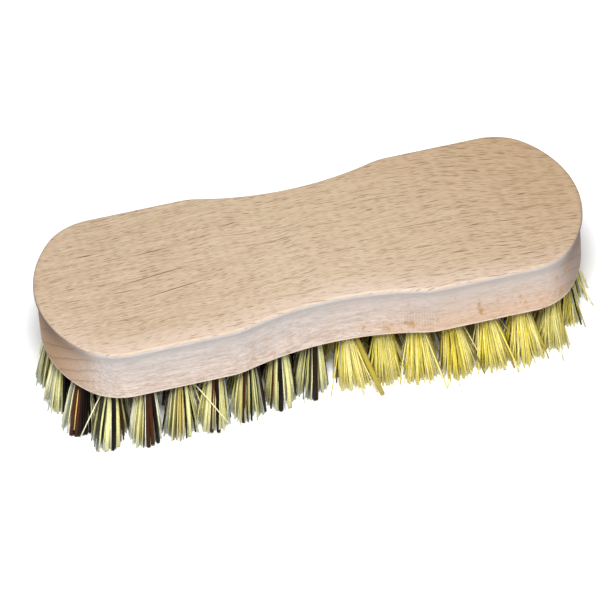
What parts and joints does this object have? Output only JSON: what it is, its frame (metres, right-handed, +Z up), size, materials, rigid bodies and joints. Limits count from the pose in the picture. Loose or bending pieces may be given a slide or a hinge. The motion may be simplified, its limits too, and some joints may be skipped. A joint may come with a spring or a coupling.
{
  "type": "vegetable brush",
  "caption": "Hand-held wooden vegetable brush: waisted beech block with a finger cove, hard mixed-fibre tufts on one half and soft yellow tufts on the other",
  "frame": {"origin": "centre of the footprint of the whole brush, on the plane of the trimmed bristle tips", "axes": "+X along the brush from the hard half to the soft half, +Y across it, +Z up from the tips to the flat top of the block"},
  "size_m": [0.1354, 0.0506, 0.0302],
  "materials": {
    "beech": "fine-sanded, unvarnished beech",
    "hard_fibre": "stiff plant fibre, pale straw mixed with black and red-brown strands",
    "soft_fibre": "softer plant fibre, straw yellow"
  },
  "bodies": {
    "root": {"block": "beech", "hard_outer_tuft_01": "hard_fibre", "hard_outer_tuft_02": "hard_fibre", "hard_outer_tuft_03": "hard_fibre", "hard_outer_tuft_04": "hard_fibre", "hard_outer_tuft_05": "hard_fibre", "hard_outer_tuft_06": "hard_fibre", "hard_outer_tuft_07": "hard_fibre", "hard_outer_tuft_08": "hard_fibre", "hard_outer_tuft_09": "hard_fibre", "hard_outer_tuft_10": "hard_fibre", "hard_outer_tuft_11": "hard_fibre", "hard_outer_tuft_12": "hard_fibre", "hard_outer_tuft_13": "hard_fibre", "hard_outer_tuft_14": "hard_fibre", "hard_outer_tuft_15": "hard_fibre", "hard_outer_tuft_16": "hard_fibre", "hard_outer_tuft_17": "hard_fibre", "hard_outer_tuft_18": "hard_fibre", "hard_inner_tuft_01": "hard_fibre", "hard_inner_tuft_02": "hard_fibre", "hard_inner_tuft_03": "hard_fibre", "hard_inner_tuft_04": "hard_fibre", "hard_inner_tuft_05": "hard_fibre", "hard_inner_tuft_06": "hard_fibre", "hard_inner_tuft_07": "hard_fibre", "hard_inner_tuft_08": "hard_fibre", "hard_inner_tuft_09": "hard_fibre", "hard_inner_tuft_10": "hard_fibre", "hard_inner_tuft_11": "hard_fibre", "soft_outer_tuft_01": "soft_fibre", "soft_outer_tuft_02": "soft_fibre", "soft_outer_tuft_03": "soft_fibre", "soft_outer_tuft_04": "soft_fibre", "soft_outer_tuft_05": "soft_fibre", "soft_outer_tuft_06": "soft_fibre", "soft_outer_tuft_07": "soft_fibre", "soft_outer_tuft_08": "soft_fibre", "soft_outer_tuft_09": "soft_fibre", "soft_outer_tuft_10": "soft_fibre", "soft_outer_tuft_11": "soft_fibre", "soft_outer_tuft_12": "soft_fibre", "soft_outer_tuft_13": "soft_fibre", "soft_outer_tuft_14": "soft_fibre", "soft_outer_tuft_15": "soft_fibre", "soft_outer_tuft_16": "soft_fibre", "soft_outer_tuft_17": "soft_fibre", "soft_outer_tuft_18": "soft_fibre", "soft_inner_tuft_01": "soft_fibre", "soft_inner_tuft_02": "soft_fibre", "soft_inner_tuft_03": "soft_fibre", "soft_inner_tuft_04": "soft_fibre", "soft_inner_tuft_05": "soft_fibre", "soft_inner_tuft_06": "soft_fibre", "soft_inner_tuft_07": "soft_fibre", "soft_inner_tuft_08": "soft_fibre", "soft_inner_tuft_09": "soft_fibre", "soft_inner_tuft_10": "soft_fibre", "soft_inner_tuft_11": "soft_fibre"}
  },
  "joints": []
}
